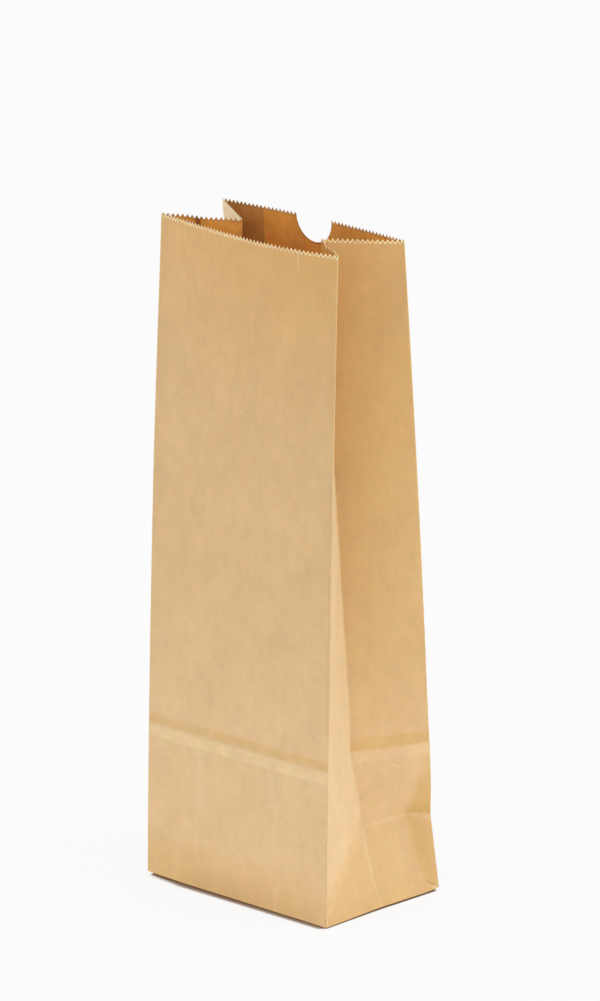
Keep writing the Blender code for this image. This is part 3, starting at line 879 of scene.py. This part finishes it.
# Marks of this bag, as (s, h): start, end, width and strength; a negative strength is a dark one
outerMarks = (
    ((0.1600, 0.0400), (0.2000, 0.0400), 0.0012, 0.17),  # the gussets' and the back's creases
    # painted light below the crease beside the dent
    ((0.1960, 0.0395), (0.1985, 0.0380), 0.0030, 0.20),
    ((0.2000, 0.0400), (0.3600, 0.0400), 0.0008, 0.22),
    ((0.3600, 0.0400), (0.3600, 0.0000), 0.0008, 0.22),
    ((0.1600, 0.0390), (0.1588, 0.0330), 0.0022, 0.13),
    ((0.1588, 0.0330), (0.1590, 0.0240), 0.0010, 0.22),
    ((0.1590, 0.0240), (0.1585, 0.0150), 0.0010, 0.24),
    ((0.1585, 0.0150), (0.1600, 0.0000), 0.0010, 0.18),
    ((0.1870, 0.0418), (0.1960, 0.0425), 0.0050, -0.15),  # shade in the dent
    ((0.1900, 0.0370), (0.1960, 0.0080), 0.0130, -0.13),
    ((0.0191, 0.3285), (0.0189, 0.3205), 0.0008, 0.22),  # creases at the rim and in the front
    ((0.0982, 0.3287), (0.0984, 0.3200), 0.0008, 0.28),
    ((0.0353, 0.0690), (0.0353, 0.0430), 0.0050, 0.12),
    ((0.0835, 0.0680), (0.0835, 0.0545), 0.0040, 0.10),
    ((0.1183, 0.2350), (0.1187, 0.1000), 0.0010, -0.09),  # beside the front's right fold
    ((0.1198, 0.1300), (0.1198, 0.0040), 0.0007, -0.10),
    ((0.0300, 0.0030), (0.1080, 0.0020), 0.0110, -0.12),
    ((0.0860, 0.0117), (0.0862, 0.0010), 0.0012, 0.12),
    ((0.1801, 0.0683), (0.1802, 0.0684), 0.0006, 0.90),  # specks
    ((0.0912, 0.2995), (0.0913, 0.2996), 0.0005, 0.65),
    ((0.0611, 0.2448), (0.0612, 0.2449), 0.0005, 0.80),
    ((0.1476, 0.0330), (0.1478, 0.0328), 0.0006, -0.60),
    ((0.1915, 0.0058), (0.1995, 0.0004), 0.0008, -0.42),  # the bottom's corners
    ((0.1955, 0.0014), (0.1985, 0.0008), 0.0012, 0.40),
    ((0.1193, 0.0042), (0.1200, 0.0004), 0.0006, -0.45),
    ((0.1208, 0.0012), (0.1212, 0.0045), 0.0008, 0.30),
)
# Inside: painted shadow of a small dent at the left gusset's rim, painted shade on its middle fold, and
# a painted highlight along the lap's edge
innerMarks = (
    ((0.3817, 0.3300), (0.3812, 0.3270), 0.0022, -0.95),
    ((0.3600, 0.3310), (0.3600, 0.3100), 0.0009, -0.35),
    ((0.2950, 0.3200), (0.2940, 0.2900), 0.0012, 0.30),
)


# The strongest pale mark at a place, broken up a little by noise, and the strongest dark one
def markSum(tree, place, marks, group):
    pale, dark = 0.0, 0.0
    for start, end, size, strength in marks:
        inputs = {"Place": place, "Start": (*start, 0.0), "End": (*end, 0.0), "Width": size}
        mark = addNode(tree, "Group", inputs, node_tree=group).outputs["Mask"]
        mask = doMath(tree, "MULTIPLY", mark, abs(strength))
        if strength > 0:
            pale = doMath(tree, "MAXIMUM", mask, pale)
        else:
            dark = doMath(tree, "MAXIMUM", mask, dark)
    broken = doMath(tree, "MULTIPLY_ADD", sheetNoise(tree, place, "scuffs"), *mixing["scuffs"])
    return doMath(tree, "MULTIPLY", pale, broken), dark


# Kraft paper: a matt surface that lets some light through, with the fibres as colour and bump
def kraftMaterial(name, finish, marks, groups):
    material, tree = newMaterial(name)
    place = addNode(tree, "UVMap", uv_map="sheet").outputs[0]
    inputs = {key.capitalize(): finish[key] for key in ("mottle", "grain", "flecks")}
    grain = addNode(tree, "Group", {"Place": place, **inputs}, node_tree=groups["grain"])
    colours = ("paper", "shadowed", "brightened", "rubbedshade", "ridge", "groove")
    inputs = {key.capitalize(): finish[key] for key in colours}
    for key in ("wornshade", "creased", "deep"):
        inputs[key.capitalize()] = painted(tree, key)
    # the lap's painted shade, where two plies let less light through
    if "lapped" in finish:
        inputs["Paper"] = mixColour(tree, painted(tree, "lap"), finish["paper"], finish["lapped"])
    inputs = {"Place": place, "Tone": grain.outputs["Tone"], **inputs}
    colour = addNode(tree, "Group", inputs, node_tree=groups["colour"])
    pale, dark = markSum(tree, place, marks, groups["mark"])
    marked = mixColour(tree, pale, colour.outputs["Color"], finish["paleMark"])
    marked = mixColour(tree, dark, marked, finish["darkMark"])
    inputs = {"Strength": 1.0, "Distance": mixing["bump"], "Height": grain.outputs["Height"]}
    bump = addNode(tree, "Bump", inputs)
    inputs = {"Base Color": marked, "Normal": bump.outputs["Normal"],
              "Roughness": finish["roughness"], **paperBody}
    shader = addNode(tree, "BsdfPrincipled", inputs)
    addNode(tree, "OutputMaterial", {"Surface": shader.outputs[0]})
    return material


cutEdge = {
    # colour: the fibres' ends and a painted highlight; shaded: painted shade
    "colour": (1.00, 0.88, 0.55, 1),
    "shaded": (0.42, 0.20, 0.06, 1),
    "roughness": 0.85,
    "specular": 0.1,
    "grain": 0.10,
}


# The cut edge: pale where lit, for the fibres' ends and a painted highlight, and brown painted shade on
# the back panel and the left gusset's front half
def cutMaterial(groups):
    material = bpy.data.materials.new("cutPaper")
    material.use_nodes = True
    tree = material.node_tree
    shader = tree.nodes["Principled BSDF"]
    place = addNode(tree, "UVMap", uv_map="sheet").outputs[0]
    inputs = {"Place": place, "Grain": cutEdge["grain"]}
    grain = addNode(tree, "Group", inputs, node_tree=groups["grain"])
    edge = mixColour(tree, painted(tree, "lit"), cutEdge["shaded"], cutEdge["colour"])
    feed(tree, shader.inputs["Base Color"], scaled(tree, edge, grain.outputs["Tone"]))
    shader.inputs["Roughness"].default_value = cutEdge["roughness"]
    shader.inputs["Specular IOR Level"].default_value = cutEdge["specular"]
    return material


def makeBag():
    mesh, lapVertices = makeSheet()
    bag = newObject("kraftBag", mesh)
    groups = {"grain": paperGrain(), "colour": sheetColour(), "mark": sheetMark()}
    mesh.materials.append(kraftMaterial("kraftOutside", outerFinish, outerMarks, groups))
    mesh.materials.append(kraftMaterial("kraftInsideShaded", innerShadedFinish, innerMarks, groups))
    mesh.materials.append(cutMaterial(groups))
    lap = bag.vertex_groups.new(name="lap")
    lap.add(lapVertices.tolist(), 1.0, "REPLACE")
    wall = bag.modifiers.new("paper", "SOLIDIFY")
    wall.thickness = 2 * sheet["ply"]  # two plies in the lap and one elsewhere
    wall.offset = -1.0
    wall.use_even_offset = True
    wall.vertex_group = lap.name
    wall.thickness_vertex_group = 0.5
    wall.material_offset = 1
    wall.material_offset_rim = 2
    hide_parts("paper_bag")
    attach(bag, "root")
    return bag


makeBag()
print("bag made")


studio = {
    "floorSize": 14.0,
    "floorDrop": 0.0001,  # gap to the bag's lowest ply
    "white": 0.984,  # the background as the camera sees it
    "skyStrength": 0.85,
    "floorColour": 0.88,
    "floorGlow": 0.50,  # light that the bright table sends back, besides what falls on it here
    "glowReach": 0.60,
    "shadowShare": 0.12,
    "contactReach": 0.006,
    "contactDark": (0.47, (0.14, 0.072, 0.034, 1)),  # open share and tone of the contact shadow
    "contactBrown": (0.58, (0.32, 0.19, 0.10, 1)),
    "contactClear": 0.66,
    "frontShade": 0.16,  # deeper contact shadow in front, on the side away from the key light
    "frontReach": 0.001,
    "sideLight": 0.12,  # a fainter one on the key light's side, within this reach
    "sideReach": 0.003,
    "cornerLight": 0.26,  # towards the left end of the front
    "cornerReach": 0.024,
    "backLight": 0.13,  # and towards the back
    "backReach": (0.030, 0.006),
    "key": (13.0, (2.0, 0.8, 1.3)),  # power and place of each lamp
    "top": (5.4, (-0.3, -0.6, 2.4)),
    "lampSize": 1.6,
}


def seenRays(tree):  # 1 for the rays that show the floor or the backdrop, 0 for those that light
    path = addNode(tree, "LightPath").outputs
    shown = doMath(tree, "MAXIMUM", path["Is Camera Ray"], path["Is Glossy Ray"])
    return doMath(tree, "MAXIMUM", shown, path["Is Transmission Ray"])


# Rises straight from 0 where place is start to top where it is end
def riseAlong(tree, place, start, end, top):
    inputs = {"Value": place, "From Min": start, "From Max": end, "To Max": top}
    return addNode(tree, "MapRange", inputs).outputs[0]


# The floor's colour as the camera sees it: white, and a painted brown contact shadow where the bag
# stands close above it, by the open share of the floor's surroundings and a part that each side of the
# bag adds
def contactShadowColour(tree, x, y):
    inputs = {"Distance": studio["contactReach"]}
    contact = addNode(tree, "AmbientOcclusion", inputs, samples=12)
    near, far = studio["frontReach"], studio["backReach"]
    sides = (
        (y, near - halfDepth, -near - halfDepth, -studio["frontShade"]),
        (x, halfWidth - studio["sideReach"], halfWidth, studio["sideLight"]),
        (x, studio["cornerReach"] - halfWidth, -halfWidth, studio["cornerLight"]),
        (y, halfDepth - far[0], halfDepth - far[1], studio["backLight"]),
    )
    share = contact.outputs["AO"]
    for place, start, end, top in sides:
        share = doMath(tree, "ADD", share, riseAlong(tree, place, start, end, top))
    ramp = addNode(tree, "ValToRGB", {0: share})
    stops = ramp.color_ramp.elements
    stops[0].position, stops[0].color = studio["contactDark"]
    stops[1].position, stops[1].color = studio["contactClear"], (studio["white"],) * 3 + (1,)
    position, colour = studio["contactBrown"]
    stops.new(position).color = colour
    return ramp.outputs[0]


def makeFloor():
    half, z = studio["floorSize"] / 2, -studio["floorDrop"]
    mesh = bpy.data.meshes.new("floor")
    corners = [(-half, -half, z), (half, -half, z), (half, half, z), (-half, half, z)]
    mesh.from_pydata(corners, [], [(0, 1, 2, 3)])
    floor = newObject("floor", mesh)
    material, tree = newMaterial("paleFloor")
    lit = addNode(tree, "BsdfDiffuse", {0: (studio["floorColour"],) * 3 + (1,)})
    spot = addNode(tree, "TexCoord").outputs["Object"]
    split = addNode(tree, "SeparateXYZ", {0: spot})
    x, y = split.outputs["X"], split.outputs["Y"]
    # the floor as the camera sees it glows white, with the painted contact shadow
    shine = addNode(tree, "Emission", {"Color": contactShadowColour(tree, x, y)})
    seen = mixShader(tree, studio["shadowShare"], shine, lit)
    spread = doMath(tree, "DIVIDE", doVector(tree, "LENGTH", spot)[1], studio["glowReach"])
    spread = doMath(tree, "ADD", doMath(tree, "MULTIPLY", spread, spread), 1.0)
    farX = doMath(tree, "GREATER_THAN", doMath(tree, "ABSOLUTE", x), halfWidth)
    farY = doMath(tree, "GREATER_THAN", doMath(tree, "ABSOLUTE", y), halfDepth)
    clear = doMath(tree, "MAXIMUM", farX, farY)  # 0 under the bag
    strength = doMath(tree, "DIVIDE", studio["floorGlow"], spread)
    glow = addNode(tree, "Emission", {"Strength": doMath(tree, "MULTIPLY", strength, clear)})
    bounce = addNode(tree, "AddShader", {0: lit.outputs[0], 1: glow.outputs[0]})
    pick = mixShader(tree, seenRays(tree), bounce, seen)
    addNode(tree, "OutputMaterial", {"Surface": pick.outputs[0]})
    mesh.materials.append(material)


def makeSky():
    world = bpy.data.worlds.new("studio")
    bpy.context.scene.world = world
    world.use_nodes = True
    tree = world.node_tree
    tree.nodes.clear()
    inputs = {"Color": (1, 1, 1, 1), "Strength": studio["skyStrength"]}
    light = addNode(tree, "Background", inputs)
    backdrop = addNode(tree, "Background", {"Color": (studio["white"],) * 3 + (1,)})
    pick = mixShader(tree, seenRays(tree), light, backdrop)
    addNode(tree, "OutputWorld", {"Surface": pick.outputs[0]})


def makeLamp(name):
    lamp = bpy.data.lights.new(name, "AREA")
    lamp.energy, place = studio[name]
    lamp.size = studio["lampSize"]
    holder = newObject(name, lamp)
    holder.location = place
    aim = Vector((0.0, 0.0, height / 2)) - Vector(place)
    holder.rotation_euler = aim.to_track_quat("-Z", "Y").to_euler()


makeFloor()
makeSky()
makeLamp("key")
makeLamp("top")
print("studio made")


shot = {
    "azimuth": 43.53,
    "elevation": 16.37,
    "distance": 4.129,
    "lookHeight": 0.165,  # the point on the bag's axis that the distance is measured to
    "aimRight": 0.00343,
    "aimUp": 0.02695,
    "lens": 308.7,
    "sensor": 36.0,
}


def makeCamera():
    azimuth, elevation = math.radians(shot["azimuth"]), math.radians(shot["elevation"])
    flat = math.cos(elevation)
    back = Vector((math.sin(azimuth) * flat, -math.cos(azimuth) * flat, math.sin(elevation)))
    right = Vector((math.cos(azimuth), math.sin(azimuth), 0.0))
    up = back.cross(right)
    middle = Vector((0.0, 0.0, shot["lookHeight"]))
    data = bpy.data.cameras.new("camera")
    data.lens = shot["lens"]
    data.sensor_width = shot["sensor"]
    camera = newObject("camera", data)
    camera.location = middle + back * shot["distance"]
    aim = middle + right * shot["aimRight"] + up * shot["aimUp"] - camera.location
    camera.rotation_euler = aim.to_track_quat("-Z", "Y").to_euler()
    bpy.context.scene.camera = camera


makeCamera()
bpy.context.scene.view_settings.view_transform = "Standard"
print("camera made")
